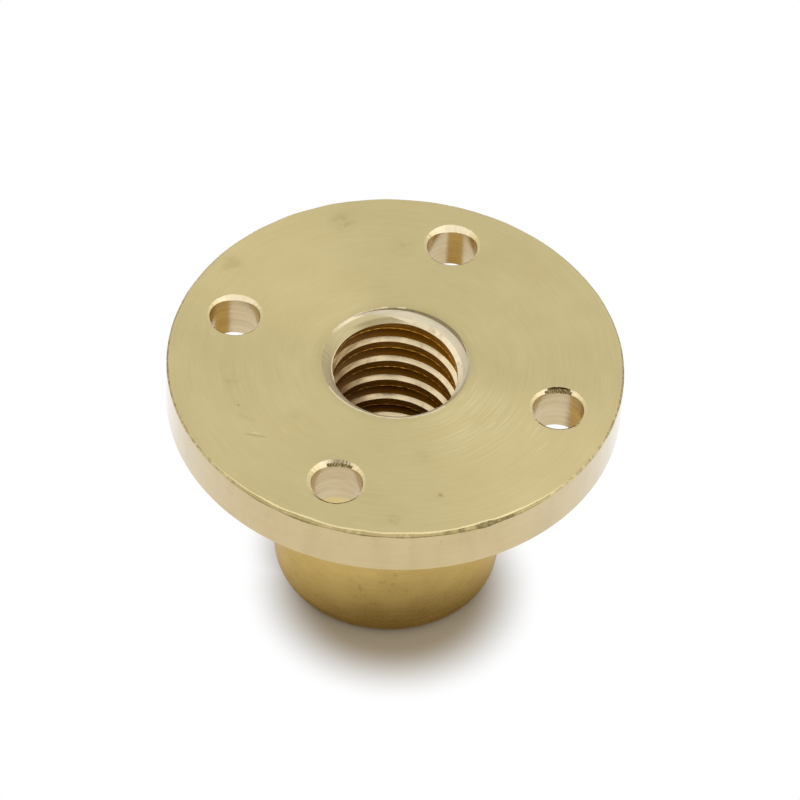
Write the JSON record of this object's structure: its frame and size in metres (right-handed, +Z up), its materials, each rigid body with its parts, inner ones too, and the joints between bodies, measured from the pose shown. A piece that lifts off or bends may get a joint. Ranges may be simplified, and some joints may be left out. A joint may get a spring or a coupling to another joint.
{
  "type": "lead screw nut",
  "caption": "Turned brass nut for a lead screw: a round flange with chamfered screw holes on a plain barrel, threaded through its centre with a coarse screw thread.",
  "frame": {"origin": "centre of the barrel's foot, on the screw's axis", "axes": "+Z runs up the screw's axis from the foot to the flange; +X and +Y each run through a screw hole"},
  "size_m": [0.032, 0.032, 0.02],
  "materials": {
    "turned_brass": "bare yellow brass, as turned, with fine concentric tool rings"
  },
  "bodies": {
    "root": {"lead_screw_nut": "turned_brass"}
  },
  "joints": []
}
